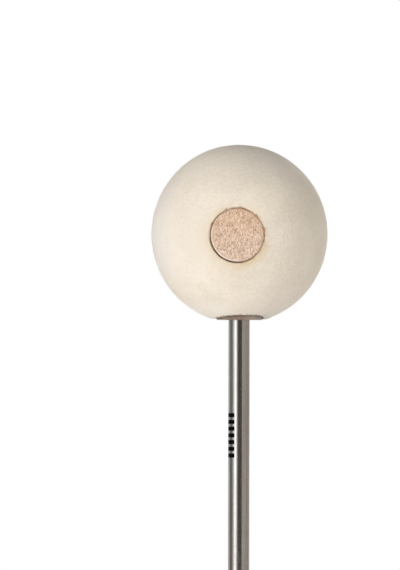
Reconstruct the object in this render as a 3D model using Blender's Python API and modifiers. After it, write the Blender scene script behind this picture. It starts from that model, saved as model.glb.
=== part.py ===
"""A bass drum beater: a felt ball glued to a maple core, screwed to a straight steel shaft.

The shaft's lower end stands on the origin and the shaft runs up +Z. The core is a dowel whose
round ends face -Y and +Y, and the felt strikes the drum towards +X or -X.
"""
import math

import bmesh
import bpy

# Steel shaft, with a threaded spigot at its top
SHAFT_DIAMETER = 0.0080
SHAFT_BELOW_HEAD = 0.1780
SHAFT_END_ROUNDING = 0.0018
SPIGOT_DIAMETER = 0.0060
SPIGOT_LENGTH = 0.0120
SPIGOT_CHAMFER = 0.0005
THREAD_PITCH = 0.0010
THREAD_DEPTH = 0.0004
THREAD_RUNOUT = 0.0015

# Felt ball, round from above and a little taller than wide, with a small flat cut under it.
# Its heights are from its widest level, and the heel's is what the flat cuts short
BALL_DIAMETER = 0.0655
BALL_CROWN_HEIGHT = 0.0334
BALL_HEEL_DEPTH = 0.0330
BALL_FLAT_DIAMETER = 0.0210

# Maple core dowel, from face to face through the ball
CORE_DIAMETER = 0.0196
CORE_BELOW_BALL_CENTRE = 0.0010
CORE_END_SUNK = 0.0001
CORE_CHAMFER = 0.0005

# Maple neck plug, round the shaft in the ball's flat, saddled on the dowel
PLUG_DIAMETER = 0.0172
PLUG_PROUD = 0.0005
PLUG_CHAMFER = 0.0003
PLUG_SADDLE_HEIGHT = 0.0041

# Steel washer between the shaft's shoulder and the spot face under the dowel
WASHER_DIAMETER = 0.0116
WASHER_THICKNESS = 0.0012
WASHER_CHAMFER = 0.0002
SPOT_FACE_DEPTH = 0.0024

# Brass insert with a coarse wood thread outside, in the dowel
INSERT_WALL = 0.0012
INSERT_LENGTH = 0.0110
INSERT_THREAD_PITCH = 0.0020
INSERT_THREAD_DEPTH = 0.0005

# Clearances: between glued, screwed or seated pieces, and over the spigot's tip
SEAT_GAP = 0.0003
TIP_ROOM = 0.0007

# How finely the round shapes are drawn
SEGMENTS = 64
HIDDEN_SEGMENTS = 32
BALL_RINGS = 32
CORNER_STEPS = 5
SMOOTH_ANGLE = math.radians(35)
MERGE_DISTANCE = 0.00001
CUTTER_OVERRUN = 0.010

# Radii that follow from the sizes above
shaft_radius = SHAFT_DIAMETER / 2
spigot_radius = SPIGOT_DIAMETER / 2
ball_radius = BALL_DIAMETER / 2
core_radius = CORE_DIAMETER / 2
plug_radius = PLUG_DIAMETER / 2
washer_radius = WASHER_DIAMETER / 2
core_bore_radius = core_radius + SEAT_GAP
plug_bore_radius = plug_radius + SEAT_GAP
shaft_bore_radius = shaft_radius + SEAT_GAP
spigot_bore_radius = spigot_radius + SEAT_GAP
washer_pocket_radius = washer_radius + SEAT_GAP
insert_radius = spigot_bore_radius + INSERT_WALL
insert_hole_radius = insert_radius + SEAT_GAP

# Where the ball's round side meets its flat and the core's bore
flat_depth = BALL_HEEL_DEPTH * math.sqrt(1 - (BALL_FLAT_DIAMETER / BALL_DIAMETER) ** 2)
core_rim_reach = math.sqrt(ball_radius**2 - core_bore_radius**2)
core_half_length = core_rim_reach - CORE_END_SUNK

# Levels in the head, measured from the dowel's axis
ball_centre = CORE_BELOW_BALL_CENTRE
plug_bottom = ball_centre - flat_depth - PLUG_PROUD
plug_top = PLUG_SADDLE_HEIGHT - core_radius
spot_face = SPOT_FACE_DEPTH - core_radius
washer_top = spot_face - SEAT_GAP
washer_bottom = washer_top - WASHER_THICKNESS
shoulder = washer_bottom - SEAT_GAP
spigot_tip = shoulder + SPIGOT_LENGTH
insert_top = spot_face + INSERT_LENGTH
insert_hole_top = max(insert_top, spigot_tip) + TIP_ROOM

# The dowel's axis over the shaft's lower end
head_height = SHAFT_BELOW_HEAD - plug_bottom


def empty_the_scene():
    for thing in list(bpy.data.objects):
        bpy.data.objects.remove(thing, do_unlink=True)


def add_collection(name):
    collection = bpy.data.collections.new(name)
    bpy.context.scene.collection.children.link(collection)
    return collection


def add_material(name, colour, roughness, metallic=0.0):
    """A plain finish. The colour is linear red, green and blue."""
    material = bpy.data.materials.new(name)
    material.use_nodes = True
    shader = material.node_tree.nodes["Principled BSDF"]
    shader.inputs["Base Color"].default_value = (*colour, 1.0)
    shader.inputs["Roughness"].default_value = roughness
    shader.inputs["Metallic"].default_value = metallic
    return material


def turned(name, outline, segments, ring=False):
    """Turns an outline of (x, z) points round the Z axis into a body of the beater.

    The outline runs down the outer side. It starts and ends on the axis, or is closed if ring.
    """
    mesh = bpy.data.meshes.new(name)
    points = [(x, 0.0, z) for x, z in outline]
    edges = [(i, i + 1) for i in range(len(points) - 1)]
    if ring:
        edges.append((len(points) - 1, 0))
    mesh.from_pydata(points, edges, [])
    body = bpy.data.objects.new(name, mesh)
    parts.objects.link(body)
    screw = body.modifiers.new("turn", "SCREW")
    screw.steps = segments
    screw.render_steps = segments
    screw.use_merge_vertices = True
    screw.merge_threshold = MERGE_DISTANCE
    return body


def drill(name, radius, low, high, segments):
    """A round cutter in the head, along Z from low to high."""
    mesh = bpy.data.meshes.new(name)
    shape = bmesh.new()
    bmesh.ops.create_cone(
        shape,
        cap_ends=True,
        segments=segments,
        radius1=radius,
        radius2=radius,
        depth=high - low,
    )
    shape.to_mesh(mesh)
    shape.free()
    cutter = bpy.data.objects.new(name, mesh)
    cutters.objects.link(cutter)
    cutter.parent = head
    cutter.location = (0.0, 0.0, (low + high) / 2)
    cutter.hide_render = True
    cutter.display_type = "WIRE"
    return cutter


def cross_drill(name, radius, half_length, segments):
    """A round cutter along the dowel's axis."""
    cutter = drill(name, radius, -half_length, half_length, segments)
    cutter.rotation_euler = (math.pi / 2, 0.0, 0.0)
    return cutter


def cut(body, *drills):
    """Takes the shapes of the cutters out of a body."""
    for cutter in drills:
        boolean = body.modifiers.new(cutter.name, "BOOLEAN")
        boolean.operation = "DIFFERENCE"
        boolean.solver = "EXACT"
        boolean.object = cutter


def finished(body, material):
    """Applies a body's modifiers, shades it smooth but for its edges, and gives it its finish."""
    bpy.context.view_layer.update()
    depsgraph = bpy.context.evaluated_depsgraph_get()
    mesh = bpy.data.meshes.new_from_object(body.evaluated_get(depsgraph))
    body.modifiers.clear()
    body.data = mesh
    mesh.shade_smooth()
    mesh.set_sharp_from_angle(angle=SMOOTH_ANGLE)
    mesh.materials.append(material)


def thread_outline(crest_radius, depth, pitch, top, bottom):
    """The crests and roots of a thread, drawn as rings, from the top crest to the last one."""
    turns = int((top - bottom) / pitch)
    points = [(crest_radius, top)]
    for turn in range(turns):
        crest = top - turn * pitch
        points.append((crest_radius - depth, crest - pitch / 2))
        points.append((crest_radius, crest - pitch))
    return points


def rounded_foot(radius, rounding):
    """A rod's lower end on the level 0: a quarter round and half of a flat face."""
    points = []
    for step in range(CORNER_STEPS + 1):
        angle = math.pi / 2 * step / CORNER_STEPS
        x = radius - rounding + rounding * math.cos(angle)
        z = rounding - rounding * math.sin(angle)
        points.append((x, z))
    points.append((0.0, 0.0))
    return points


def build_shaft():
    """The rod: a threaded spigot, a shoulder, a straight shank and a rounded lower end."""
    root_radius = spigot_radius - THREAD_DEPTH
    tip_z = head_height + spigot_tip
    shoulder_z = head_height + shoulder
    thread = thread_outline(
        spigot_radius,
        THREAD_DEPTH,
        THREAD_PITCH,
        tip_z - SPIGOT_CHAMFER,
        shoulder_z + THREAD_RUNOUT,
    )
    last_crest_z = thread[-1][1]
    outline = [
        (0.0, tip_z),
        (spigot_radius - SPIGOT_CHAMFER, tip_z),
        *thread,
        (root_radius, last_crest_z - THREAD_DEPTH),
        (root_radius, shoulder_z),
        (shaft_radius, shoulder_z),
        *rounded_foot(shaft_radius, SHAFT_END_ROUNDING),
    ]
    shaft = turned("shaft", outline, SEGMENTS)
    finished(shaft, steel)


def build_felt_ball():
    """The ball, cut flat below, and bored through for the dowel and from below for the plug."""
    crown = [(0.0, BALL_CROWN_HEIGHT)]
    heel = [(0.0, -flat_depth)]
    half_rings = BALL_RINGS // 2
    flat_angle = math.asin(BALL_FLAT_DIAMETER / BALL_DIAMETER)
    for ring in range(1, half_rings):
        angle = math.pi / 2 * ring / half_rings
        crown.append((ball_radius * math.sin(angle), BALL_CROWN_HEIGHT * math.cos(angle)))
    for ring in range(half_rings):
        angle = flat_angle + (math.pi / 2 - flat_angle) * ring / half_rings
        heel.append((ball_radius * math.sin(angle), -BALL_HEEL_DEPTH * math.cos(angle)))
    outline = [*crown, (ball_radius, 0.0), *reversed(heel)]
    ball = turned("felt_ball", outline, SEGMENTS)
    ball.parent = head
    ball.location = (0.0, 0.0, ball_centre)
    core_bore = cross_drill(
        "core_bore", core_bore_radius, ball_radius + CUTTER_OVERRUN, SEGMENTS
    )
    plug_bore = drill(
        "plug_bore", plug_bore_radius, plug_bottom - CUTTER_OVERRUN, plug_top + SEAT_GAP, SEGMENTS
    )
    cut(ball, core_bore, plug_bore)
    finished(ball, felt)


def build_core_dowel():
    """The dowel, with a spot face for the washer and a blind hole for the insert."""
    outline = [
        (0.0, core_half_length),
        (core_radius - CORE_CHAMFER, core_half_length),
        (core_radius, core_half_length - CORE_CHAMFER),
        (core_radius, -core_half_length + CORE_CHAMFER),
        (core_radius - CORE_CHAMFER, -core_half_length),
        (0.0, -core_half_length),
    ]
    dowel = turned("core_dowel", outline, SEGMENTS)
    dowel.parent = head
    dowel.rotation_euler = (math.pi / 2, 0.0, 0.0)
    below = -core_radius - CUTTER_OVERRUN
    spot_facer = drill("spot_face", washer_pocket_radius, below, spot_face, HIDDEN_SEGMENTS)
    insert_hole = drill("insert_hole", insert_hole_radius, below, insert_hole_top, HIDDEN_SEGMENTS)
    cut(dowel, spot_facer, insert_hole)
    finished(dowel, end_grain)


def build_neck_plug():
    """The plug, bored for the shaft, pocketed for the washer and saddled to fit the dowel."""
    outline = [
        (0.0, plug_top),
        (plug_radius, plug_top),
        (plug_radius, plug_bottom + PLUG_CHAMFER),
        (plug_radius - PLUG_CHAMFER, plug_bottom),
        (0.0, plug_bottom),
    ]
    plug = turned("neck_plug", outline, SEGMENTS)
    plug.parent = head
    above = plug_top + CUTTER_OVERRUN
    below = plug_bottom - CUTTER_OVERRUN
    saddle = cross_drill("dowel_saddle", core_bore_radius, PLUG_DIAMETER, SEGMENTS)
    pocket = drill("washer_pocket", washer_pocket_radius, shoulder, above, HIDDEN_SEGMENTS)
    bore = drill("shaft_bore", shaft_bore_radius, below, above, HIDDEN_SEGMENTS)
    cut(plug, saddle, pocket, bore)
    finished(plug, neck_maple)


def build_shoulder_washer():
    """A flat washer round the spigot, on the shaft's shoulder."""
    outline = [
        (spigot_bore_radius, washer_top),
        (washer_radius - WASHER_CHAMFER, washer_top),
        (washer_radius, washer_top - WASHER_CHAMFER),
        (washer_radius, washer_bottom + WASHER_CHAMFER),
        (washer_radius - WASHER_CHAMFER, washer_bottom),
        (spigot_bore_radius, washer_bottom),
    ]
    washer = turned("shoulder_washer", outline, HIDDEN_SEGMENTS, ring=True)
    washer.parent = head
    finished(washer, washer_steel)


def build_threaded_insert():
    """A sleeve round the spigot, flush with the spot face. Its bore clears the spigot's thread."""
    outline = [
        (spigot_bore_radius, insert_top),
        *thread_outline(
            insert_radius, INSERT_THREAD_DEPTH, INSERT_THREAD_PITCH, insert_top, spot_face
        ),
        (insert_radius, spot_face),
        (spigot_bore_radius, spot_face),
    ]
    insert = turned("threaded_insert", outline, HIDDEN_SEGMENTS, ring=True)
    insert.parent = head
    finished(insert, brass)


empty_the_scene()
parts = add_collection("bass_drum_beater")
cutters = add_collection("cutters")

head = bpy.data.objects.new("head", None)
parts.objects.link(head)
head.location = (0.0, 0.0, head_height)

steel = add_material("drawn_steel", (0.42, 0.39, 0.37), roughness=0.28, metallic=1.0)
felt = add_material("wool_felt", (0.86, 0.78, 0.66), roughness=0.95)
end_grain = add_material("maple_end_grain", (0.70, 0.51, 0.37), roughness=0.60)
neck_maple = add_material("maple_neck", (0.34, 0.26, 0.20), roughness=0.65)
washer_steel = add_material("washer_steel", (0.50, 0.50, 0.50), roughness=0.40, metallic=1.0)
brass = add_material("insert_brass", (0.70, 0.50, 0.22), roughness=0.35, metallic=1.0)

build_shaft()
build_felt_ball()
build_core_dowel()
build_neck_plug()
build_shoulder_washer()
build_threaded_insert()
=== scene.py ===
"""A felt bass drum beater, dressed and lit for a catalogue picture on white.

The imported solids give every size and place. The felt ball is made anew with soft rims and a
pressed, fibrous surface, and the other solids keep their shapes and get finished materials.
"""
import math

import bpy
import numpy as np
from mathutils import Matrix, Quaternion, Vector, noise


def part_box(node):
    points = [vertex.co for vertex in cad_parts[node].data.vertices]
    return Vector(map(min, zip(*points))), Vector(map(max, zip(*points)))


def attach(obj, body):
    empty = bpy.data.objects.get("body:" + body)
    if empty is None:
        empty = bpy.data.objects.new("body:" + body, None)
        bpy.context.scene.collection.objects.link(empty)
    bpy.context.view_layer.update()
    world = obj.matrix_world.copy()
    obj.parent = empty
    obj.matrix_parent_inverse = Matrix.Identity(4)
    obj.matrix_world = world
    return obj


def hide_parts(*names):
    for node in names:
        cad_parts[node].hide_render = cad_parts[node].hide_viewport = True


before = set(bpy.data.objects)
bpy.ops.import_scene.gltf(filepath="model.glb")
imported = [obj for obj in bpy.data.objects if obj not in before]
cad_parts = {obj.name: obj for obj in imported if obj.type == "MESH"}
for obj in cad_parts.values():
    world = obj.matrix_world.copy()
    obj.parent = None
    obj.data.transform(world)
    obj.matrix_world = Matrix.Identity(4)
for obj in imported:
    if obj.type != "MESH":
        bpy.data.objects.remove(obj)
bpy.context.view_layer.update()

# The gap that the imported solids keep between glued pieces
SEAT_GAP = 0.0003

# Felt: the mesh's fineness, how round its rims are, and how its surface swells and dips. Each
# swell has its wavelength and its depth.
FELT_VOXEL = 0.00051
CORE_RIM_SOFTNESS = 0.0006
CORE_SEAM_WIDTH = 0.00023
CORE_SEAM_WANDER = 0.00014
PLUG_RIM_SOFTNESS = 0.0004
PLUG_RIM_LIFT = 0.00110
PLUG_RIM_SAG = 0.00020
PLUG_RIM_TILT = -0.00010
PLUG_RIM_TURN = math.radians(24)
RIM_BULGE = 0.00032
RIM_BULGE_REACH = 0.0030
FELT_SWELLS = ((0.016, 0.00010), (0.0050, 0.00004), (0.0018, 0.00002))
RIM_CALM = 0.0015
FITTING_STEPS = 8
FITTING_REACH = 0.00005
LEAST_STEEPNESS = 0.2

# How far each seed shifts the noise, so that the swells don't repeat one another
SEED_STEPS = (7.3, 3.1, 5.7)

# The dowel's seam: its waves to a turn, how strong they are and where they start, and the side on
# which it is narrowest
SEAM_WAVES = ((5, 0.5, 0.7), (11, 0.35, 2.1))
SEAM_NARROWEST = math.radians(40)

# Glue seams round the dowel's faces and round the neck plug. Each wave has its scale and strength.
GLUE_STEPS = 180
CORE_GLUE_SUNK = 0.00050
CORE_GLUE_WANDER = 0.00014
NECK_GLUE_HEIGHT = 0.00060
NECK_GLUE_WANDER = 0.00016
GLUE_BITE = 0.00005
CORE_GLUE_WAVES = ((2.3, 1.0), (7.1, 0.6))
NECK_GLUE_WAVES = ((3.1, 1.0), (9.7, 0.5))
NECK_GLUE_SEED = 3.0

# Plain height marks printed on the shaft: an even scale of short bars, from one angle to another
# in degrees from the front
MARK_COUNT = 7
MARK_HEIGHT = 0.0015
MARK_PITCH = 0.0025
MARKS_BELOW_HEAD = 0.0347
MARK_ANGLES = (-86.0, -24.0)
MARK_THICKNESS = 0.00003
MARK_SIDES = 14

# Camera: placed from the ball's centre, and aimed by where the ball is in the picture
PICTURE_WIDTH = 400
PICTURE_HEIGHT = 570
BALL_PIXEL_X = 239.45
BALL_PIXEL_Y = 234.5
PIXELS_PER_METRE = 2687.5
CAMERA_DISTANCE = 2.0
CAMERA_AZIMUTH = math.radians(1.3)
CAMERA_BELOW_BALL = 0.0557
CAMERA_ROLL = math.radians(0.12)
SENSOR_LONG_SIDE = 36.0
CLIP_START = 0.05
CLIP_END = 50.0

# Light: the ambient level, the white table's own glow, and the lamps. Each lamp has its direction
# from the head in degrees, its width and height in metres, and how bright it is.
WHITE = (1.0, 1.0, 1.0, 1.0)
AMBIENT = 0.34
TABLE_LIGHT_HEIGHT = 0.002
TABLE_LIGHT_LEVEL = 0.09
LAMP_DISTANCE = 0.9
LAMPS = (
    ("key", -32, -3, 0.45, 0.36, 0.53),
    ("front_fill", 15, 10, 0.45, 0.36, 0.09),
    ("right_fill", 105, -10, 0.40, 0.40, 0.32),
    ("back_light", 178, 8, 0.60, 0.50, 0.30),
)

# Floor: its size, how white its paper is, and how it fades into the white background
STAGE_RADIUS = 1.2
FLOOR_CORNERS = 96
FLOOR_PAPER = (0.82, 0.82, 0.82, 1.0)
FLOOR_GLOW = 0.32
FADE_START = STAGE_RADIUS * 0.35
FADE_END = STAGE_RADIUS * 0.9

# Studio cards that only the steel reflects: from and to in degrees from the camera, where left
# is minus, then brightness, and warmth, where 1 is neutral
CARD_RADIUS = 0.45
CARD_HEIGHT = 0.9
CARD_BOTTOM = 0.001
CARD_STEPS = 16
CARDS = (
    ("card_far_left", -150, -114, 0.60, 1.02),
    ("card_left_flag", -114, -71, 0.21, 1.01),
    ("card_left_edge", -71, -51, 0.78, 0.98),
    ("card_left_strip", -51, -28.5, 2.20, 0.965),
    ("card_left_fade", -28.5, -12, 0.46, 1.00),
    ("card_front_flag", -12, 31, 0.08, 1.03),
    ("card_right_warm", 34, 80, 0.465, 1.06),
    ("card_right_grey", 80, 140, 0.395, 1.05),
    ("card_back_strip", 152, 168, 1.40, 1.00),
    ("card_back_flag", 172, 205, 0.12, 1.00),
)


def solids_sizes():
    """The ball's, dowel's and plug's places and radii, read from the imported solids."""
    low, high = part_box("felt_ball")
    core_low, core_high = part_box("core_dowel")
    plug_low, plug_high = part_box("neck_plug")
    _, shaft_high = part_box("shaft")
    points = [vertex.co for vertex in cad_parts["felt_ball"].data.vertices]
    widest = max(points, key=lambda point: point.x)
    flat_radius = max(point.x for point in points if point.z < low.z + SEAT_GAP)
    heel = (widest.z - low.z) / math.sqrt(1 - (flat_radius / high.x) ** 2)
    return {
        "ball_radius": high.x,
        "ball_z": widest.z,
        "crown": high.z - widest.z,
        "heel": heel,
        "rim_z": low.z,
        "core_z": (core_low.z + core_high.z) / 2,
        "core_radius": core_high.x,
        "core_face": core_high.y,
        "core_bore": core_high.x + SEAT_GAP,
        "plug_radius": plug_high.x,
        "plug_bottom": plug_low.z,
        "plug_bore": plug_high.x + SEAT_GAP,
        "flat_radius": flat_radius,
        "shaft_radius": shaft_high.x,
    }


size = solids_sizes()


# Shapes


def wander(points, wavelength, seed):
    """Smooth noise from about -1 to 1 at each point."""
    offset = Vector([seed * step for step in SEED_STEPS])
    return np.array([noise.noise(Vector(point) / wavelength + offset) for point in points])


def smooth_max(a, b, softness):
    """The larger of two, with the crease between them rounded off."""
    near = np.clip(softness - np.abs(a - b), 0.0, None) / softness
    return np.maximum(a, b) + near * near * softness / 4


def rim_level(x, y):
    """The level of the felt's lower rim, uneven, and higher at the front and back."""
    turn = np.arctan2(x, -y)
    lift = (PLUG_RIM_LIFT + PLUG_RIM_SAG) * (1 - np.sin(turn - PLUG_RIM_TURN) ** 4)
    return size["rim_z"] + lift - PLUG_RIM_SAG + PLUG_RIM_TILT * np.sin(turn)


def core_seam(x, z):
    """The width of the glue seam round the dowel: widest at the lower left, and uneven."""
    turn = np.arctan2(z - size["core_z"], x)
    waves = sum(strength * np.sin(count * turn + start) for count, strength, start in SEAM_WAVES)
    return CORE_SEAM_WIDTH + CORE_SEAM_WANDER * (waves - np.cos(turn - SEAM_NARROWEST))


def rim_bulge(x, y, up):
    """How far the cut round the plug has pushed the felt out beside it."""
    beyond = np.hypot(x, y) - size["flat_radius"]
    near = np.clip(1 - beyond / RIM_BULGE_REACH, 0.0, 1.0)
    return np.where(up < 0, RIM_BULGE * near * near, 0.0)


def felt_fields(points):
    """Distances out of the egg-shaped ball, into its two bores and below its lower rim."""
    x, y, z = points.T
    up = z - size["ball_z"]
    tall = np.where(up > 0, size["crown"], size["heel"])
    across = (x * x + y * y) / size["ball_radius"] ** 2
    ball = (np.sqrt(across + (up / tall) ** 2) - 1) * size["ball_radius"]
    ball -= rim_bulge(x, y, up)
    core = size["core_radius"] + core_seam(x, z) - np.hypot(x, z - size["core_z"])
    plug = np.minimum(size["plug_bore"] - np.hypot(x, y), size["core_z"] - z)
    trim = rim_level(x, y) - z
    return ball, core, plug, trim


def felt_distance(points):
    """The distance out of the felt: the ball with soft-rimmed bores and its lower rim trimmed."""
    ball, core, plug, trim = felt_fields(points)
    trimmed = smooth_max(ball, trim, PLUG_RIM_SOFTNESS)
    bored = smooth_max(trimmed, core, CORE_RIM_SOFTNESS)
    return smooth_max(bored, plug, PLUG_RIM_SOFTNESS)


def slope(points):
    """The direction in which felt_distance grows, and how fast."""
    parts = []
    for axis in range(3):
        step = np.zeros(3)
        step[axis] = FITTING_REACH
        parts.append(felt_distance(points + step) - felt_distance(points - step))
    return np.stack(parts, axis=1) / (2 * FITTING_REACH)


def put(name, data):
    """An object in the scene, made of a mesh, a lamp or a camera."""
    thing = bpy.data.objects.new(name, data)
    bpy.context.scene.collection.objects.link(thing)
    return thing


def add_piece(name, mesh, material):
    """A piece of the beater that rides on its one body."""
    piece = put(name, mesh)
    mesh.materials.clear()
    mesh.materials.append(material)
    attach(piece, "root")
    return piece


def voxel_copy(node, voxel):
    """An even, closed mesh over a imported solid, which itself stays as it is."""
    shell = put("shell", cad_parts[node].data.copy())
    remesh = shell.modifiers.new("voxels", "REMESH")
    remesh.mode = "VOXEL"
    remesh.voxel_size = voxel
    bpy.context.view_layer.update()
    depsgraph = bpy.context.evaluated_depsgraph_get()
    mesh = bpy.data.meshes.new_from_object(shell.evaluated_get(depsgraph))
    bpy.data.objects.remove(shell)
    return mesh


def build_felt(material):
    """The felt ball: a fine mesh drawn onto the soft-rimmed shape, then swollen and dimpled."""
    mesh = voxel_copy("felt_ball", FELT_VOXEL)
    points = np.zeros(len(mesh.vertices) * 3)
    mesh.vertices.foreach_get("co", points)
    points = points.reshape(-1, 3)
    for _ in range(FITTING_STEPS):
        gradient = slope(points)
        steepness = np.maximum(np.sum(gradient * gradient, axis=1), LEAST_STEEPNESS)
        points -= gradient * (felt_distance(points) / steepness)[:, None]
    ball, core, plug, trim = felt_fields(points)
    outside = ball - np.maximum(np.maximum(core, plug), trim)
    loose = np.clip(outside / RIM_CALM, 0.0, 1.0)
    outward = slope(points)
    outward /= np.linalg.norm(outward, axis=1)[:, None]
    swell = np.zeros(len(points))
    for seed, (wavelength, depth) in enumerate(FELT_SWELLS, 1):
        swell += depth * wander(points, wavelength, seed)
    points += outward * (swell * loose)[:, None]
    mesh.vertices.foreach_set("co", points.ravel())
    mesh.update()
    mesh.shade_smooth()
    felt = add_piece("felt_head", mesh, material)
    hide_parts("felt_ball")


def ring_mesh(name, sections):
    """A closed ring from the cross-sections round it, each a list of points."""
    count = len(sections)
    corners = len(sections[0])
    points = [point for section in sections for point in section]
    faces = []
    for here in range(count):
        after = (here + 1) % count
        for corner in range(corners):
            next_corner = (corner + 1) % corners
            faces.append((
                here * corners + corner,
                here * corners + next_corner,
                after * corners + next_corner,
                after * corners + corner,
            ))
    mesh = bpy.data.meshes.new(name)
    mesh.from_pydata(points, [], faces)
    mesh.update()
    mesh.shade_smooth()
    return mesh


def unevenness(around, waves):
    """Smooth noise round a ring, from waves that each have a scale and a strength."""
    return sum(strength * noise.noise(around * scale) for scale, strength in waves)


def build_core_glue(name, side, material):
    """The uneven bead of glue in the groove round one face of the dowel."""
    inner = size["core_radius"] - GLUE_BITE
    outer = size["core_bore"] + GLUE_BITE * 3
    middle = (inner + outer) / 2
    sections = []
    for step in range(GLUE_STEPS):
        turn = 2 * math.pi * step / GLUE_STEPS
        around = Vector((math.cos(turn), side, math.sin(turn)))
        uneven = unevenness(around, CORE_GLUE_WAVES)
        top = size["core_face"] - CORE_GLUE_SUNK + CORE_GLUE_WANDER * uneven
        deep = top - 4 * CORE_GLUE_WANDER
        crown = CORE_GLUE_WANDER / 2
        outline = ((inner, top), (middle, top + crown), (outer, top), (outer, deep), (inner, deep))
        # The back's outline runs the other way round, so that its faces look outwards too.
        sections.append([
            (radius * math.cos(turn), side * y, size["core_z"] + radius * math.sin(turn))
            for radius, y in outline[::-side]
        ])
    add_piece(name, ring_mesh(name, sections), material)


def build_neck_glue(material):
    """The bead of dark glue in the corner between the felt's lower rim and the plug."""
    inner = size["plug_radius"] - GLUE_BITE
    outer = size["plug_bore"] + GLUE_BITE * 4
    sections = []
    for step in range(GLUE_STEPS):
        turn = 2 * math.pi * step / GLUE_STEPS
        x, y = math.sin(turn), -math.cos(turn)
        uneven = unevenness(Vector((x, y, NECK_GLUE_SEED)), NECK_GLUE_WAVES)
        level = float(rim_level(x, y))
        bottom = level + NECK_GLUE_WANDER * uneven - NECK_GLUE_HEIGHT / 3
        top = level + NECK_GLUE_HEIGHT
        outline = ((inner, bottom), (inner, top), (outer, top), (outer, level + GLUE_BITE))
        sections.append([(radius * x, radius * y, z) for radius, z in outline])
    add_piece("neck_glue", ring_mesh("neck_glue", sections), material)


def on_shaft(angle, z, lift):
    """A point on the shaft's side at an angle from the front, raised by lift."""
    radius = size["shaft_radius"] + lift
    return (radius * math.sin(angle), -radius * math.cos(angle), z)


def add_bar(points, faces, top):
    """A bar bent round the shaft, as thin as print."""
    low_angle, high_angle = (math.radians(degrees) for degrees in MARK_ANGLES)
    bottom = top - MARK_HEIGHT
    outline = ((1, top), (1, bottom), (-1, bottom), (-1, top))
    corners = len(outline)
    start = len(points)
    end = start + corners * MARK_SIDES
    for step in range(MARK_SIDES + 1):
        angle = low_angle + (high_angle - low_angle) * step / MARK_SIDES
        for side, z in outline:
            points.append(on_shaft(angle, z, side * MARK_THICKNESS))
    for first in range(start, end, corners):
        for corner in range(corners):
            here = first + corner
            beside = first + (corner + 1) % corners
            faces.append((here, beside, beside + corners, here + corners))
    faces.append(tuple(reversed(range(start, start + corners))))
    faces.append(tuple(range(end, end + corners)))


def build_height_marks(material):
    """An even scale of short black bars for setting the beater's height in a pedal."""
    points, faces = [], []
    top = size["plug_bottom"] - MARKS_BELOW_HEAD
    for step in range(MARK_COUNT):
        add_bar(points, faces, top - step * MARK_PITCH)
    mesh = bpy.data.meshes.new("height_marks")
    mesh.from_pydata(points, [], faces)
    mesh.update()
    add_piece("height_marks", mesh, material)


# Materials

# Colours are in linear light. A span says where along a pattern or a distance something starts
# and ends, then how strong it is at either end, or 0 and 1 if it doesn't say. A tint is a span
# and its colour.

# Where nearly all of a noise pattern lies
NOISE_SPAN = (0.30, 0.70)

# The lower left of the dowel's rim, where the glue ran: shares of x and z, then from and to
GLUE_RUN_SHARES = (0.57, 0.82)
GLUE_RUN_EDGE = (-0.0085, -0.0045)

# How much of an oval patch has its full strength, as a share of its area
OVAL_CORE = 0.05

# The mix node's sockets for colours
MIX_COLOUR_INPUTS = (6, 7)
MIX_COLOUR_OUTPUT = 2


def new_material(name):
    """A new material with its node tree and its shader."""
    material = bpy.data.materials.new(name)
    material.use_nodes = True
    tree = material.node_tree
    return material, tree, tree.nodes["Principled BSDF"]


def add(tree, kind, inputs=None, **settings):
    """A node with its settings. Each input is linked if it is a socket, and otherwise set."""
    node = tree.nodes.new(kind)
    for name, value in settings.items():
        setattr(node, name, value)
    for name, value in (inputs or {}).items():
        if isinstance(value, bpy.types.NodeSocket):
            tree.links.new(value, node.inputs[name])
        else:
            node.inputs[name].default_value = value
    return node


def set_inputs(tree, shader, **inputs):
    """Links or sets a shader's inputs. An input's name is written with _ for its spaces."""
    for name, value in inputs.items():
        socket = shader.inputs[name.replace("_", " ")]
        if isinstance(value, bpy.types.NodeSocket):
            tree.links.new(value, socket)
        else:
            socket.default_value = value


def place(tree, scale=(1, 1, 1), location=(0, 0, 0)):
    """Object coordinates in metres, moved and scaled."""
    coordinates = add(tree, "ShaderNodeTexCoord").outputs["Object"]
    moved = add(tree, "ShaderNodeMapping", {"Vector": coordinates, "Location": location})
    return add(tree, "ShaderNodeMapping", {"Vector": moved.outputs[0], "Scale": scale}).outputs[0]


def speckle(tree, vector, scale, detail, roughness=0.6, distortion=0.0):
    """Noise from 0 to 1, mostly near its middle, with a scale in blobs to the metre."""
    inputs = {
        "Vector": vector,
        "Scale": scale,
        "Detail": detail,
        "Roughness": roughness,
        "Distortion": distortion,
    }
    return add(tree, "ShaderNodeTexNoise", inputs).outputs["Fac"]


def calc(tree, operation, a, b=0.0, clamp=False):
    """One sum on one or two values, which are sockets or numbers."""
    return add(tree, "ShaderNodeMath", {0: a, 1: b}, operation=operation, use_clamp=clamp).outputs[0]


def band(tree, value, low, high, to_low=0.0, to_high=1.0):
    """Maps a value smoothly from one range to another, and holds it at the ends."""
    inputs = {"Value": value, "From Min": low, "From Max": high, "To Min": to_low, "To Max": to_high}
    return add(tree, "ShaderNodeMapRange", inputs, interpolation_type="SMOOTHSTEP").outputs[0]


def blend(tree, share, first, second):
    """Mixes two colours. A colour is a socket or three linear values."""
    node = add(tree, "ShaderNodeMix", {0: share}, data_type="RGBA")
    for socket, colour in zip(MIX_COLOUR_INPUTS, (first, second)):
        if isinstance(colour, bpy.types.NodeSocket):
            tree.links.new(colour, node.inputs[socket])
        else:
            node.inputs[socket].default_value = (*colour, 1.0)
    return node.outputs[MIX_COLOUR_OUTPUT]


def bump(tree, height, depth, strength, below=None):
    """Tilts the surface as a height from 0 to 1 would if it were this deep, in metres."""
    inputs = {"Height": height, "Distance": depth, "Strength": strength}
    if below is not None:
        inputs["Normal"] = below
    return add(tree, "ShaderNodeBump", inputs).outputs[0]


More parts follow.
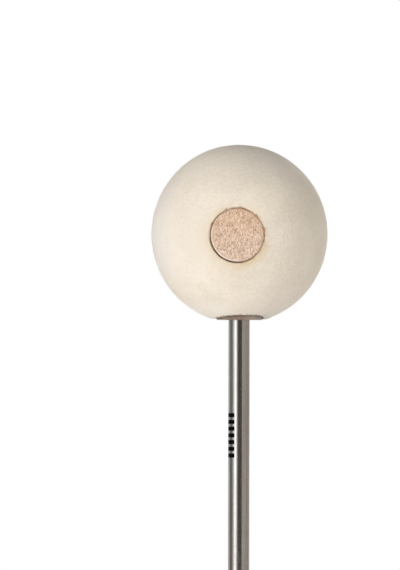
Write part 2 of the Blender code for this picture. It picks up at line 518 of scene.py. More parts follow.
def split(tree, vector):
    """A vector's three parts."""
    return add(tree, "ShaderNodeSeparateXYZ", {0: vector}).outputs


def times(tree, *factors):
    """The product of several values."""
    product = factors[0]
    for factor in factors[1:]:
        product = calc(tree, "MULTIPLY", product, factor)
    return product


def tint(tree, pattern, colour, span, tint_colour):
    """Lays a tint over a colour, as strong as its span makes it where the pattern is low or high."""
    return blend(tree, band(tree, pattern, *span), colour, tint_colour)


def off_axis(tree, a, b):
    """The distance from an axis, worked out from the two coordinates across it."""
    return calc(tree, "SQRT", calc(tree, "ADD", times(tree, a, a), times(tree, b, b)))


def aslant(tree, x, z, shares):
    """A coordinate that runs aslant over the head, made of a share of x and a share of z."""
    return calc(tree, "ADD", times(tree, x, shares[0]), times(tree, z, shares[1]))


def on_face(tree):
    """How far a place is to the right of the dowel's middle and above it, seen from the front."""
    x, _, z = split(tree, place(tree, location=(0, 0, -size["core_z"])))
    return x, z


def lower_left(tree, x, z, elsewhere, there):
    """One level at the lower left of the dowel's rim, where the glue ran, and another elsewhere."""
    low, high = GLUE_RUN_EDGE
    return band(tree, aslant(tree, x, z, GLUE_RUN_SHARES), low, high, there, elsewhere)


def oval(tree, x, z, middle, reach):
    """1 in the middle of an oval patch on the head, seen from the front, and 0 beyond its reach."""
    across = calc(tree, "DIVIDE", calc(tree, "SUBTRACT", x, middle[0]), reach[0])
    up = calc(tree, "DIVIDE", calc(tree, "SUBTRACT", z, middle[1]), reach[1])
    square = calc(tree, "ADD", times(tree, across, across), times(tree, up, up))
    return band(tree, square, OVAL_CORE, 1.0, 1.0, 0.0)


# Felt

# The wool's colours and tints, with painted shade and highlight on its hollows and hairs, and how its
# hairs are drawn out
WOOL_DEEP = (0.803, 0.706, 0.581)
WOOL_LIGHT = (0.860, 0.771, 0.654)
WOOL_SHEEN = (1.0, 0.95, 0.88, 1.0)
WOOL_CLOUDS = (0.35, 0.68)
WOOL_HOLLOW_SHADE = ((*NOISE_SPAN, 0.13, 0.0), (0.50, 0.40, 0.30))
WOOL_HAIR_SHADE = ((0.35, 0.52, 0.12, 0.0), (0.45, 0.36, 0.27))
WOOL_HAIR_HIGHLIGHT = ((0.52, 0.68, 0.0, 0.28), (0.95, 0.90, 0.82))
UPRIGHT_HAIRS = (1, 1, 0.42)
SLANTED_HAIRS = (0.5, 0.7, 1)
UPRIGHT_OR_SLANTED = (0.42, 0.60)
WOOL_MOTTLE_DEPTH = 0.00016
WOOL_HAIR_DEPTH = 0.00014

# Glue soaked into the felt: from and to in metres beyond the dowel's bore, and how strong
FAR_GLUE = (0.0, 0.0110, 0.40)
HALO_GLUE = (0.0002, 0.0042, 1.0)
HALO_STRENGTH = 0.50
HALO_PATCHES = (0.40, 0.62, 0.12, 1.0)
SMUDGES = (0.44, 0.60)
CLOSE_GLUE = (0.0004, 0.0018, 0.34)
RUN_GLUE = (0.0002, 0.0036, 0.50)
EDGE_GLUE = (-0.0003, 0.0004, 0.95)
FAR_GLUE_COLOUR = (0.66, 0.54, 0.40)
HALO_COLOUR = (0.66, 0.51, 0.31)
CLOSE_GLUE_COLOUR = (0.60, 0.45, 0.24)
RUN_COLOUR = (0.66, 0.50, 0.27)
EDGE_COLOUR = (0.26, 0.135, 0.060)
EDGE_RAGGED = 0.0006
EDGE_ELSEWHERE = 0.32
KNOT_STRENGTH = 0.85

# Where round the dowel the glue is strongest: shares of x and z, and the span along them
FAR_GLUE_SHARES = (1.0, 0.6)
FAR_GLUE_SIDE = (-0.012, 0.010, 1.0, 0.1)
HALO_SHARES = (0.3, 1.0)
HALO_SIDE = (-0.011, 0.010, 1.0, 0.55)
RUN_SHARES = (0.62, -0.79)
RUN_SIDE = (0.0078, 0.0100)

# The head's duller and clearer places: spans in metres from the dowel's middle, and their colours
FLUSH_UP = (-0.030, -0.012, 1.0, 0.0)
FLUSH_ACROSS = (0.0, 0.0120, 1.0, 0.0)
FLUSH_LEFT = 0.001
FLUSH_CLOUDS = (0.35, 0.62)
FLUSH_STRENGTH = 0.16
FLUSH_COLOUR = (0.88, 0.69, 0.50)
DULL_BOTTOM = (-0.0225, -0.0185)
DULL_TOP = (-0.0090, -0.0010, 1.0, 0.0)
DULL_ACROSS = (-0.0040, 0.0120, 0.20, 0.08)
DULL_COLOUR = (0.68, 0.60, 0.50)
PALE_BOTTOM = (-0.0280, -0.0225, 0.60, 0.0)
PALE_BOTTOM_ACROSS = (-0.0070, 0.0010, 1.0, 0.0)
PALE_TOP = (0.0170, 0.0250, 0.0, 0.22)
PALE_COLOUR = (0.95, 0.88, 0.77)
COOL_LEFT = ((-0.0330, -0.0180, 0.60, 0.0), (0.83, 0.78, 0.74))
WARM_RIGHT = ((0.0180, 0.0300, 0.0, 0.26), (0.72, 0.62, 0.47))

# Oval patches: the middle, the reach, how strong, and the colour
DARKER_PATCH = ((-0.0170, 0.0), (0.0090, 0.0200), 0.30, (0.70, 0.655, 0.575))
LIGHTER_PATCH = ((0.0095, 0.0130), (0.0105, 0.0105), 0.50, (0.95, 0.85, 0.69))

# The shaded edge of the felt's lower rim: spans of height from the rim's level and across the head
RIM_SHADE_HEIGHT = (-0.00107, -0.00078, 0.90, 0.0)
RIM_SHADE_ACROSS = (0.0070, 0.0092, 1.0, 0.12)
RIM_SHADE_COLOUR = (0.20, 0.16, 0.115)
RIM_FRAY = 0.0021


def wool_patterns(tree, where):
    """Clouds, mottling, and hairs that stand upright in some places and slant in others."""
    clouds = speckle(tree, where, scale=70, detail=3, roughness=0.55)
    mottle = speckle(tree, where, scale=700, detail=4, roughness=0.7, distortion=0.5)
    matted = {"detail": 3, "roughness": 0.6, "distortion": 0.9}
    upright = speckle(tree, place(tree, scale=UPRIGHT_HAIRS), scale=1500, **matted)
    slanted = speckle(tree, place(tree, scale=SLANTED_HAIRS), scale=1450, **matted)
    drift = band(tree, speckle(tree, where, scale=95, detail=2), *UPRIGHT_OR_SLANTED)
    hairs = add(tree, "ShaderNodeMix", {0: drift, 2: upright, 3: slanted}).outputs[0]
    return clouds, mottle, hairs


def wool_colour(tree, clouds, mottle, hairs):
    """Cream wool, with painted shade in its hollows and between its hairs, and a painted highlight on
    the top hairs.
    """
    colour = tint(tree, clouds, WOOL_DEEP, WOOL_CLOUDS, WOOL_LIGHT)
    # Painted shade: darker where the mottled surface dips
    colour = tint(tree, mottle, colour, *WOOL_HOLLOW_SHADE)
    # Painted shade between the hairs, then a painted highlight on the top hairs
    colour = tint(tree, hairs, colour, *WOOL_HAIR_SHADE)
    return tint(tree, hairs, colour, *WOOL_HAIR_HIGHLIGHT)


def soaked(tree, across, first, last, strength):
    """Glue in the felt: strong up to a first distance beyond the bore, and gone at the last."""
    return band(tree, across, size["core_bore"] + first, size["core_bore"] + last, strength, 0.0)


def add_halo(tree, where, x, z, across, smudges, colour):
    """The glue's wide faint halo, its patchy inner one, and smudges close to the dowel."""
    far_side = band(tree, aslant(tree, x, z, FAR_GLUE_SHARES), *FAR_GLUE_SIDE)
    far = times(tree, soaked(tree, across, *FAR_GLUE), far_side)
    colour = blend(tree, far, colour, FAR_GLUE_COLOUR)
    halo_side = band(tree, aslant(tree, x, z, HALO_SHARES), *HALO_SIDE)
    patches = speckle(tree, where, scale=230, detail=5, roughness=0.65, distortion=0.8)
    patchy = band(tree, patches, *HALO_PATCHES)
    halo = times(tree, soaked(tree, across, *HALO_GLUE), halo_side, patchy, HALO_STRENGTH)
    colour = blend(tree, halo, colour, HALO_COLOUR)
    close = times(tree, soaked(tree, across, *CLOSE_GLUE), smudges)
    return blend(tree, close, colour, CLOSE_GLUE_COLOUR)


def add_shades(tree, x, z, clouds, colour):
    """The head's flushed, dull, pale, cool and warm places, and a darker and a lighter patch."""
    beside = calc(tree, "ABSOLUTE", calc(tree, "ADD", x, FLUSH_LEFT))
    flush = times(
        tree,
        band(tree, z, *FLUSH_UP),
        band(tree, beside, *FLUSH_ACROSS),
        band(tree, clouds, *FLUSH_CLOUDS),
        FLUSH_STRENGTH,
    )
    colour = blend(tree, flush, colour, FLUSH_COLOUR)
    dull = times(
        tree,
        band(tree, z, *DULL_BOTTOM),
        band(tree, z, *DULL_TOP),
        band(tree, x, *DULL_ACROSS),
    )
    colour = blend(tree, dull, colour, DULL_COLOUR)
    pale = times(tree, band(tree, z, *PALE_BOTTOM), band(tree, x, *PALE_BOTTOM_ACROSS))
    pale = calc(tree, "ADD", pale, band(tree, z, *PALE_TOP))
    colour = blend(tree, pale, colour, PALE_COLOUR)
    colour = tint(tree, x, colour, *COOL_LEFT)
    colour = tint(tree, x, colour, *WARM_RIGHT)
    # A darker oval patch to the left of the dowel and a lighter one at its upper right
    for middle, reach, strength, patch_colour in (DARKER_PATCH, LIGHTER_PATCH):
        patch = times(tree, oval(tree, x, z, middle, reach), strength)
        colour = blend(tree, patch, colour, patch_colour)
    return colour


def add_glue_edge(tree, where, x, z, across, smudges, colour):
    """Glue that ran at the lower right, and the brown ragged edge where the felt meets the seam."""
    run = times(
        tree,
        soaked(tree, across, *RUN_GLUE),
        band(tree, aslant(tree, x, z, RUN_SHARES), *RUN_SIDE),
    )
    colour = blend(tree, run, colour, RUN_COLOUR)
    ragged = times(tree, speckle(tree, where, scale=900, detail=3), EDGE_RAGGED)
    edge = soaked(tree, calc(tree, "SUBTRACT", across, ragged), *EDGE_GLUE)
    knots = times(tree, smudges, KNOT_STRENGTH)
    strength = calc(tree, "MAXIMUM", lower_left(tree, x, z, EDGE_ELSEWHERE, 1.0), knots)
    return blend(tree, times(tree, edge, strength), colour, EDGE_COLOUR)


def add_rim_shade(tree, where, colour):
    """The dark frayed edge of the felt's lower rim. The level is rim_level's, drawn with nodes."""
    x, y, z = split(tree, where)
    turn = calc(tree, "ARCTAN2", x, times(tree, y, -1.0))
    sine = calc(tree, "SINE", calc(tree, "SUBTRACT", turn, PLUG_RIM_TURN))
    square = times(tree, sine, sine)
    drop = times(tree, square, square, PLUG_RIM_LIFT + PLUG_RIM_SAG)
    tilt = times(tree, calc(tree, "SINE", turn), PLUG_RIM_TILT)
    level = calc(tree, "SUBTRACT", tilt, calc(tree, "SUBTRACT", drop, size["rim_z"] + PLUG_RIM_LIFT))
    frayed = times(tree, speckle(tree, where, scale=1050, detail=3), RIM_FRAY)
    height = calc(tree, "SUBTRACT", calc(tree, "SUBTRACT", z, level), frayed)
    shade = times(tree, band(tree, height, *RIM_SHADE_HEIGHT), band(tree, x, *RIM_SHADE_ACROSS))
    return blend(tree, shade, colour, RIM_SHADE_COLOUR)


def felt_material():
    """Pressed wool: cream, mottled, with short matted fibres, and glue stains by the dowel."""
    material, tree, shader = new_material("wool_felt_pressed")
    where = place(tree)
    x, z = on_face(tree)
    across = off_axis(tree, x, z)
    clouds, mottle, hairs = wool_patterns(tree, where)
    smudges = band(tree, speckle(tree, where, scale=420, detail=4), *SMUDGES)
    colour = wool_colour(tree, clouds, mottle, hairs)
    colour = add_halo(tree, where, x, z, across, smudges, colour)
    colour = add_shades(tree, x, z, clouds, colour)
    colour = add_glue_edge(tree, where, x, z, across, smudges, colour)
    colour = add_rim_shade(tree, where, colour)
    normal = bump(tree, mottle, WOOL_MOTTLE_DEPTH, strength=0.8)
    normal = bump(tree, hairs, WOOL_HAIR_DEPTH, strength=0.9, below=normal)
    set_inputs(
        tree,
        shader,
        Base_Color=colour,
        Roughness=0.95,
        Specular_IOR_Level=0.20,
        Sheen_Weight=0.18,
        Sheen_Roughness=0.55,
        Sheen_Tint=WOOL_SHEEN,
        Normal=normal,
    )
    return material


# End grain

# The pith's place from the dowel's middle, the rings and rays round it, and how little the grain
# changes along the dowel
PITH_ABOVE = 0.021
PITH_ASIDE = 0.0015
RING_SPACING = 0.0021
RING_WOBBLE = 0.0011
RAY_STRETCH = (1.0, 0.36, 1.0)
RAY_DEPTH = 0.00007
FLECKS_PER_METRE = 3900.0
ALONG_DOWEL = 0.05

# Pores: their cells, which of the cells have one, and how far it reaches in its cell
PORES_PER_METRE = 1050.0
PORE_SHIFT = (0.0047, 0, 0.0031)
PORE_PICK = (0.62, 0.66)
PORE_SPOT = (0.20, 0.36, 1.0, 0.0)
PORE_STRENGTH = 0.75
PORE_DEPTH = 0.00010

# Colours and tints
MAPLE_MIDDLE = (0.600, 0.395, 0.260)
MAPLE_PALE = (0.690, 0.480, 0.335)
MAPLE_LOW = (0.710, 0.535, 0.400)
MAPLE_WARM = (0.67, 0.42, 0.24)
MAPLE_PORES = (0.27, 0.16, 0.10)
MAPLE_BEVEL_HIGHLIGHT = (0.93, 0.83, 0.74)
MAPLE_TONES = (0.36, 0.66)
MAPLE_PALE_FLECKS = ((0.62, 0.74, 0.0, 0.70), (0.86, 0.725, 0.635))
MAPLE_DARK_FLECKS = ((0.23, 0.35, 0.88, 0.0), (0.38, 0.24, 0.165))
MAPLE_RAYS = ((0.34, 0.50, 0.35, 0.0), (0.42, 0.27, 0.19))
MAPLE_RINGS = ((0.72, 1.0, 0.0, 0.13), (0.46, 0.30, 0.20))
MAPLE_ROUGHNESS = (*NOISE_SPAN, 0.52, 0.68)

# Spans of height above the dowel's middle
MORE_PORES = (-0.004, 0.003, 0.55, 1.0)
PALER_BELOW = (-0.008, 0.006, 0.60, 0.0)
COARSER_ABOVE = (0.0, 0.0080, 0.68, 1.0)
WARMER_ABOVE = (-0.002, 0.006, 0.0, 0.25)

# The painted highlight on the dowel's bevelled rim: how far in it starts and ends, and where it shows
BEVEL_IN = (0.0006, 0.0004)
BEVEL_SHARES = (1.0, 1.0)
BEVEL_LIT_SIDE = (-0.0120, 0.0, 0.45, 0.0)


def up_the_face(tree, z, low, high, to_low, to_high):
    """Changes with the height above the dowel's middle. Here z is counted from the pith."""
    return band(tree, z, -PITH_ABOVE + low, -PITH_ABOVE + high, to_low, to_high)


def pore_pattern(tree, z):
    """Small round pores, fewer of them lower down."""
    where = place(tree, scale=(1, ALONG_DOWEL, 1), location=PORE_SHIFT)
    dots = add(tree, "ShaderNodeTexVoronoi", {"Vector": where, "Scale": PORES_PER_METRE})
    few = band(tree, split(tree, dots.outputs["Color"])[0], *PORE_PICK)
    spots = band(tree, dots.outputs["Distance"], *PORE_SPOT)
    return times(tree, spots, few, up_the_face(tree, z, *MORE_PORES))


def add_flecks(tree, ray_places, z, colour):
    """Pale and dark flecks of grain, coarser higher up."""
    cells = add(tree, "ShaderNodeTexVoronoi", {"Vector": ray_places, "Scale": FLECKS_PER_METRE})
    flecks = split(tree, cells.outputs["Color"])[0]
    coarse = up_the_face(tree, z, *COARSER_ABOVE)
    for span, fleck_colour in (MAPLE_PALE_FLECKS, MAPLE_DARK_FLECKS):
        share = times(tree, band(tree, flecks, *span), coarse)
        colour = blend(tree, share, colour, fleck_colour)
    return colour


def add_bevel_highlight(tree, colour):
    """A painted highlight on the dowel's bevelled edge, strongest at the lower left, as if lit from
    there.
    """
    x, z = on_face(tree)
    first, last = (size["core_radius"] - inward for inward in BEVEL_IN)
    bevel = band(tree, off_axis(tree, x, z), first, last)
    lit_side = band(tree, aslant(tree, x, z, BEVEL_SHARES), *BEVEL_LIT_SIDE)
    return blend(tree, times(tree, bevel, lit_side), colour, MAPLE_BEVEL_HIGHLIGHT)


def end_grain_material():
    """Sanded maple across the grain: fine rays and rings round a pith above the dowel, and a painted
    highlight on its bevel.
    """
    material, tree, shader = new_material("maple_end_grain_sanded")
    from_pith = place(tree, location=(-PITH_ASIDE, 0, -size["core_z"] - PITH_ABOVE))
    x, y, z = split(tree, from_pith)
    reach = off_axis(tree, x, z)
    turn = calc(tree, "ARCTAN2", x, times(tree, z, -1.0))
    round_pith = {0: times(tree, turn, PITH_ABOVE), 1: reach, 2: times(tree, y, ALONG_DOWEL)}
    polar = add(tree, "ShaderNodeCombineXYZ", round_pith).outputs[0]

    ray_places = add(tree, "ShaderNodeMapping", {"Vector": polar, "Scale": RAY_STRETCH}).outputs[0]
    rays = speckle(tree, ray_places, scale=2500, detail=1, roughness=0.5)
    wobble = speckle(tree, polar, scale=260, detail=2)
    ring_at = calc(tree, "ADD", reach, times(tree, wobble, RING_WOBBLE))
    rings = calc(tree, "SINE", times(tree, ring_at, 2 * math.pi / RING_SPACING))
    tone = speckle(tree, place(tree), scale=210, detail=4)
    pores = pore_pattern(tree, z)

    colour = tint(tree, tone, MAPLE_MIDDLE, MAPLE_TONES, MAPLE_PALE)
    colour = blend(tree, up_the_face(tree, z, *PALER_BELOW), colour, MAPLE_LOW)
    colour = add_flecks(tree, ray_places, z, colour)
    colour = blend(tree, up_the_face(tree, z, *WARMER_ABOVE), colour, MAPLE_WARM)
    colour = tint(tree, rays, colour, *MAPLE_RAYS)
    colour = tint(tree, rings, colour, *MAPLE_RINGS)
    colour = blend(tree, times(tree, pores, PORE_STRENGTH), colour, MAPLE_PORES)
    # The bevel's painted highlight, at the lower left
    colour = add_bevel_highlight(tree, colour)

    normal = bump(tree, rays, RAY_DEPTH, strength=0.6)
    normal = bump(tree, pores, -PORE_DEPTH, strength=0.7, below=normal)
    sanded = speckle(tree, place(tree), scale=2600, detail=3)
    set_inputs(
        tree,
        shader,
        Base_Color=colour,
        Roughness=band(tree, sanded, *MAPLE_ROUGHNESS),
        Specular_IOR_Level=0.35,
        Normal=normal,
    )
    return material


# Neck plug

NECK_GRAIN_STRETCH = (1, 0.10, 0.35)
NECK_GRAIN_DEPTH = 0.00006
NECK_RIM_WIDTH = 0.0016
NECK_RIM_STRENGTH = 0.35

# How far left of the plug's middle it is darkest, and its bore's stain: from and to in metres
# beyond the shaft, and how strong
MIDDLE_DARKENING_LEFT = 0.0015
NECK_BORE = (0.0002, 0.0014, 0.6)

# Colours and tints
NECK_DARK = (0.27, 0.195, 0.145)
NECK_LIGHT = (0.50, 0.40, 0.315)
NECK_RIM = (0.42, 0.34, 0.28)
NECK_BORE_COLOUR = (0.13, 0.075, 0.05)
NECK_PATCHES = ((0.40, 0.70, 0.0, 0.35), (0.20, 0.135, 0.10))
NECK_MIDDLE_DARKENING = ((0.0020, 0.0065, 0.65, 0.0), (0.18, 0.115, 0.08))
NECK_GREY_SIDES = ((0.0035, 0.0070, 0.0, 0.55), (0.335, 0.310, 0.270))
NECK_ROUGHNESS = (*NOISE_SPAN, 0.55, 0.74)


def neck_material():
    """Maple along the grain, darkened by glue, darker across its middle, and greyer at its sides."""
    material, tree, shader = new_material("maple_neck_stained")
    along = place(tree, scale=NECK_GRAIN_STRETCH)
    grain = speckle(tree, along, scale=1500, detail=5, roughness=0.65, distortion=0.5)
    patches = speckle(tree, place(tree), scale=240, detail=3)
    x, y, _ = split(tree, place(tree))
    around = off_axis(tree, x, y)
    colour = tint(tree, grain, NECK_DARK, NOISE_SPAN, NECK_LIGHT)
    colour = tint(tree, patches, colour, *NECK_PATCHES)
    rim_from = size["plug_radius"] - NECK_RIM_WIDTH
    rim = band(tree, around, rim_from, size["plug_radius"], 0.0, NECK_RIM_STRENGTH)
    colour = blend(tree, rim, colour, NECK_RIM)
    beside = calc(tree, "ABSOLUTE", calc(tree, "ADD", x, MIDDLE_DARKENING_LEFT))
    # Darker across the middle, a little left of the plug's centre
    colour = tint(tree, beside, colour, *NECK_MIDDLE_DARKENING)
    # Greyer towards both sides
    colour = tint(tree, calc(tree, "ABSOLUTE", x), colour, *NECK_GREY_SIDES)
    first, last, strength = NECK_BORE
    shaft_side = size["shaft_radius"]
    bore = band(tree, around, shaft_side + first, shaft_side + last, strength, 0.0)
    colour = blend(tree, bore, colour, NECK_BORE_COLOUR)
    set_inputs(
        tree,
        shader,
        Base_Color=colour,
        Roughness=band(tree, patches, *NECK_ROUGHNESS),
        Specular_IOR_Level=0.35,
        Normal=bump(tree, grain, NECK_GRAIN_DEPTH, strength=0.5),
    )
    return material


# Glue

GLUE_DEPTH = 0.00004
THIN_GLUE_STRENGTH = 0.26
THICK_GLUE_STRENGTH = 0.60
GLUE_TONES = (0.40, 0.64)
GLUE_ROUGHNESS = (*NOISE_SPAN, 0.45, 0.65)
GLUE_DARK = (0.075, 0.038, 0.017)
GLUE_LIGHT = (0.27, 0.150, 0.072)
THIN_GLUE = (0.46, 0.30, 0.185)
THICK_GLUE = (0.060, 0.031, 0.014)


def glue_material():
    """Dried glue, brown and uneven: darkest where it ran thick, and lighter where it is thin."""
    material, tree, shader = new_material("dried_glue")
    patches = speckle(tree, place(tree), scale=330, detail=4)
    fine = speckle(tree, place(tree), scale=1900, detail=2)
    x, z = on_face(tree)
    colour = tint(tree, patches, GLUE_DARK, GLUE_TONES, GLUE_LIGHT)
    colour = blend(tree, lower_left(tree, x, z, THIN_GLUE_STRENGTH, 0.0), colour, THIN_GLUE)
    colour = blend(tree, lower_left(tree, x, z, 0.0, THICK_GLUE_STRENGTH), colour, THICK_GLUE)
    set_inputs(
        tree,
        shader,
        Base_Color=colour,
        Roughness=band(tree, patches, *GLUE_ROUGHNESS),
        Normal=bump(tree, fine, GLUE_DEPTH, strength=0.5),
    )
    return material


# Steel rod

# How its patterns are drawn out along it
LINE_STRETCH = (1, 1, 0.012)
WIDE_LINE_STRETCH = (1, 1, 0.02)
HANDLED_STRETCH = (1, 1, 0.5)
MOTTLE_STRETCH = (1, 1, 0.30)
LINE_DEPTH = 0.000012

# Colours and tints, and how rough it is
STEEL_DARK = (0.540, 0.505, 0.475)
STEEL_LIGHT = (0.650, 0.620, 0.590)
STEEL_WIDE_LINES = ((0.38, 0.66, 0.0, 0.50), (0.47, 0.405, 0.360))
STEEL_HANDLED = ((0.40, 0.62, 0.0, 0.30), (0.45, 0.41, 0.38))
STEEL_MOTTLE = ((0.36, 0.64, 0.0, 0.16), (0.40, 0.36, 0.33))
LINE_ROUGHNESS = (0.25, 0.75, 0.13, 0.20)
HANDLED_ROUGHNESS = (0.50, 0.75, 0.0, 0.06)


def steel_material():
    """Bright drawn rod: fine lengthwise lines, a few faint bands along them, and finger marks."""
    material, tree, shader = new_material("drawn_steel_rod")
    lines = speckle(tree, place(tree, scale=LINE_STRETCH), scale=3000, detail=4, roughness=0.7)
    wide_lines = speckle(tree, place(tree, scale=WIDE_LINE_STRETCH), scale=700, detail=2)
    handled = speckle(tree, place(tree, scale=HANDLED_STRETCH), scale=120, detail=4)
    mottle = speckle(tree, place(tree, scale=MOTTLE_STRETCH), scale=900, detail=3)
    colour = tint(tree, lines, STEEL_DARK, NOISE_SPAN, STEEL_LIGHT)
    colour = tint(tree, wide_lines, colour, *STEEL_WIDE_LINES)
    colour = tint(tree, handled, colour, *STEEL_HANDLED)
    colour = tint(tree, mottle, colour, *STEEL_MOTTLE)
    line_roughness = band(tree, lines, *LINE_ROUGHNESS)
    more_where_handled = band(tree, handled, *HANDLED_ROUGHNESS)
    set_inputs(
        tree,
        shader,
        Base_Color=colour,
        Metallic=1.0,
        Roughness=calc(tree, "ADD", line_roughness, more_where_handled),
        Normal=bump(tree, lines, LINE_DEPTH, strength=0.5),
    )
    return material


# Small metal parts

# The turning marks, then each finish's dark and light colour and its least roughness
TURNED_STRETCH = (0.05, 0.05, 1)
TURNED_DEPTH = 0.00001
ROUGHNESS_SPREAD = 0.14
TURNED_BRASS = ((0.62, 0.42, 0.17), (0.76, 0.55, 0.26), 0.28)
ZINC_PLATE = ((0.46, 0.46, 0.47), (0.56, 0.56, 0.55), 0.32)


def turned_material(name, dark, light, roughness):
    """A small plated or brass part, turned: fine rings round the shaft's axis."""
    material, tree, shader = new_material(name)
    rings = speckle(tree, place(tree, scale=TURNED_STRETCH), scale=6000, detail=2)
    cloud = speckle(tree, place(tree), scale=600, detail=3)
    set_inputs(
        tree,
        shader,
        Base_Color=tint(tree, cloud, dark, NOISE_SPAN, light),
        Metallic=1.0,
        Roughness=band(tree, cloud, *NOISE_SPAN, roughness, roughness + ROUGHNESS_SPREAD),
        Normal=bump(tree, rings, TURNED_DEPTH, strength=0.5),
    )
    return material


# Print

INK_BLACK = (0.0015, 0.0015, 0.0015)
INK_WORN = (0.03, 0.028, 0.026)
INK_SPECKS = (0.66, 0.74)
INK_ROUGHNESS = (*NOISE_SPAN, 0.70, 0.85)


def ink_material():
    """Flat black print, a little worn through in specks."""
    material, tree, shader = new_material("black_print")
    specks = speckle(tree, place(tree), scale=3800, detail=3, roughness=0.7)
    set_inputs(
        tree,
        shader,
        Base_Color=tint(tree, specks, INK_BLACK, INK_SPECKS, INK_WORN),
        Roughness=band(tree, specks, *INK_ROUGHNESS),
        Specular_IOR_Level=0.04,
    )
    return material


# Stage, light and camera


def seen_rays(tree):
    """1 for camera, mirror and see-through rays, which show the white background, and else 0."""
    path = add(tree, "ShaderNodeLightPath").outputs
    seen = calc(tree, "ADD", path["Is Camera Ray"], path["Is Glossy Ray"])
    return calc(tree, "ADD", seen, path["Is Transmission Ray"], clamp=True)


def light_the_world():
    """White to look at, and a plain soft light from all round for the object."""
    world = bpy.data.worlds.new("white_studio")
    bpy.context.scene.world = world
    world.use_nodes = True
    tree = world.node_tree
    background = tree.nodes["Background"]
    strength = band(tree, seen_rays(tree), 0.0, 1.0, AMBIENT, 1.0)
    tree.links.new(strength, background.inputs["Strength"])
    background.inputs["Color"].default_value = WHITE


def bare_material(name):
    """A new material with an empty node tree."""
    material = bpy.data.materials.new(name)
    material.use_nodes = True
    material.node_tree.nodes.clear()
    return material, material.node_tree


def floor_material():
    """White paper that looks brighter towards the floor's rim, until it is the background's white."""
    material, tree = bare_material("white_floor")
    x, y, _ = split(tree, place(tree))
    fade = band(tree, off_axis(tree, x, y), FADE_START, FADE_END)
    paper = add(tree, "ShaderNodeBsdfDiffuse", {"Color": FLOOR_PAPER}).outputs[0]
    glow_strength = band(tree, fade, 0.0, 1.0, FLOOR_GLOW, 1.0)
    glow = add(tree, "ShaderNodeEmission", {"Strength": glow_strength}).outputs[0]
    lit = add(tree, "ShaderNodeAddShader", {0: paper, 1: glow}).outputs[0]
    white = add(tree, "ShaderNodeEmission", {"Strength": 1.0}).outputs[0]
    looked_at = add(tree, "ShaderNodeMixShader", {0: fade, 1: lit, 2: white}).outputs[0]
    shown = add(tree, "ShaderNodeMixShader", {0: seen_rays(tree), 1: paper, 2: looked_at}).outputs[0]
    add(tree, "ShaderNodeOutputMaterial", {"Surface": shown})
    return material


def lay_the_floor():
    """A round white floor that takes the beater's shadow and fades into the white background."""
    mesh = bpy.data.meshes.new("floor")
    turns = [2 * math.pi * corner / FLOOR_CORNERS for corner in range(FLOOR_CORNERS)]
    rim = [(STAGE_RADIUS * math.cos(turn), STAGE_RADIUS * math.sin(turn), 0.0) for turn in turns]
    mesh.from_pydata(rim, [], [tuple(range(FLOOR_CORNERS))])
    floor = put("floor", mesh)
    mesh.materials.append(floor_material())


def towards(azimuth, elevation):
    """A direction from the head, in degrees from the camera. Left is minus and down is minus."""
    aside = math.radians(azimuth)
    up = math.radians(elevation)
    return Vector((math.sin(aside) * math.cos(up), -math.cos(aside) * math.cos(up), math.sin(up)))


def put_lamp(name, lamp, location, turned):
    """Puts a lamp in the scene that lights the beater but isn't seen, in mirrors neither."""
    lit = put(name, lamp)
    lit.location = location
    lit.rotation_euler = turned
    lit.visible_camera = False
    lit.visible_glossy = False


def add_table_light():
    """The white table's own glow, which lights the beater from below."""
    table = bpy.data.lights.new("table_light", "AREA")
    table.shape = "DISK"
    table.size = STAGE_RADIUS
    table.energy = TABLE_LIGHT_LEVEL * 4 * math.pi * (STAGE_RADIUS / 2) ** 2
    put_lamp("table_light", table, (0, 0, TABLE_LIGHT_HEIGHT), (math.pi, 0, 0))


def add_lamp(name, azimuth, elevation, width, height, level):
    """A soft lamp aimed at the head, so bright that it alone lights a surface facing it to level."""
    lamp = bpy.data.lights.new(name, "AREA")
    lamp.shape = "RECTANGLE"
    lamp.size = width
    lamp.size_y = height
    lamp.energy = level * 4 * math.pi * LAMP_DISTANCE**2
    direction = towards(azimuth, elevation)
    location = Vector((0, 0, size["ball_z"])) + direction * LAMP_DISTANCE
    put_lamp(name, lamp, location, direction.to_track_quat("Z", "Y").to_euler())


def add_card(name, start, end, brightness, warmth):
    """An upright curved card round the beater, which only mirror-like surfaces see."""
    points, faces = [], []
    for step in range(CARD_STEPS + 1):
        way = towards(start + (end - start) * step / CARD_STEPS, 0) * CARD_RADIUS
        points.append((way.x, way.y, CARD_BOTTOM))
        points.append((way.x, way.y, CARD_HEIGHT))
    for first in range(0, 2 * CARD_STEPS, 2):
        faces.append((first, first + 1, first + 3, first + 2))
    mesh = bpy.data.meshes.new(name)
    mesh.from_pydata(points, [], faces)
    card = put(name, mesh)
    card.visible_camera = False
    card.visible_diffuse = False
    card.visible_transmission = False
    card.visible_shadow = False
    material, tree = bare_material(name)
    colour = (brightness * warmth, brightness, brightness / warmth, 1.0)
    glow = add(tree, "ShaderNodeEmission", {"Color": colour, "Strength": 1.0}).outputs[0]
    add(tree, "ShaderNodeOutputMaterial", {"Surface": glow})
    mesh.materials.append(material)


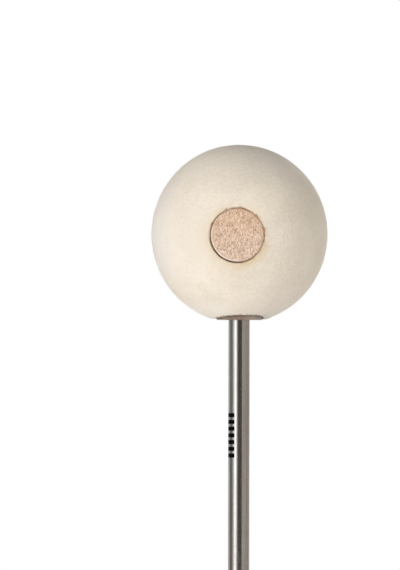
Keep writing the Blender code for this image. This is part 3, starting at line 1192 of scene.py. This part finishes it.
def add_camera():
    """A long lens a little below the head, with the ball where the picture has it."""
    ball = Vector((0, 0, size["ball_z"]))
    out = Vector((math.sin(CAMERA_AZIMUTH), -math.cos(CAMERA_AZIMUTH), 0))
    eye = ball + out * CAMERA_DISTANCE - Vector((0, 0, CAMERA_BELOW_BALL))
    ahead = (ball - eye).normalized()
    right = ahead.cross(Vector((0, 0, 1))).normalized()
    up = right.cross(ahead)
    across = (BALL_PIXEL_X - PICTURE_WIDTH / 2) / PIXELS_PER_METRE
    higher = (PICTURE_HEIGHT / 2 - BALL_PIXEL_Y) / PIXELS_PER_METRE
    aside = across * math.cos(CAMERA_ROLL) - higher * math.sin(CAMERA_ROLL)
    above = across * math.sin(CAMERA_ROLL) + higher * math.cos(CAMERA_ROLL)
    aim = ball - right * aside - up * above
    camera_data = bpy.data.cameras.new("camera")
    camera_data.sensor_width = SENSOR_LONG_SIDE
    camera_data.lens = PIXELS_PER_METRE * CAMERA_DISTANCE / PICTURE_HEIGHT * SENSOR_LONG_SIDE
    camera_data.clip_start = CLIP_START
    camera_data.clip_end = CLIP_END
    camera = put("camera", camera_data)
    camera.location = eye
    level = (aim - eye).to_track_quat("-Z", "Y")
    camera.rotation_euler = (level @ Quaternion((0, 0, 1), CAMERA_ROLL)).to_euler()
    bpy.context.scene.camera = camera


def dress(node, material):
    """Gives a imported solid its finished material."""
    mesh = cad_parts[node].data
    mesh.materials.clear()
    mesh.materials.append(material)


bpy.context.scene.view_settings.view_transform = "Standard"
light_the_world()
lay_the_floor()
for lamp in LAMPS:
    add_lamp(*lamp)
add_table_light()
for card in CARDS:
    add_card(*card)
add_camera()

build_felt(felt_material())
glue = glue_material()
build_core_glue("core_glue_front", -1, glue)
build_core_glue("core_glue_back", 1, glue)
build_neck_glue(glue)
build_height_marks(ink_material())

dress("shaft", steel_material())
dress("core_dowel", end_grain_material())
dress("neck_plug", neck_material())
dress("threaded_insert", turned_material("turned_brass", *TURNED_BRASS))
dress("shoulder_washer", turned_material("zinc_plate", *ZINC_PLATE))
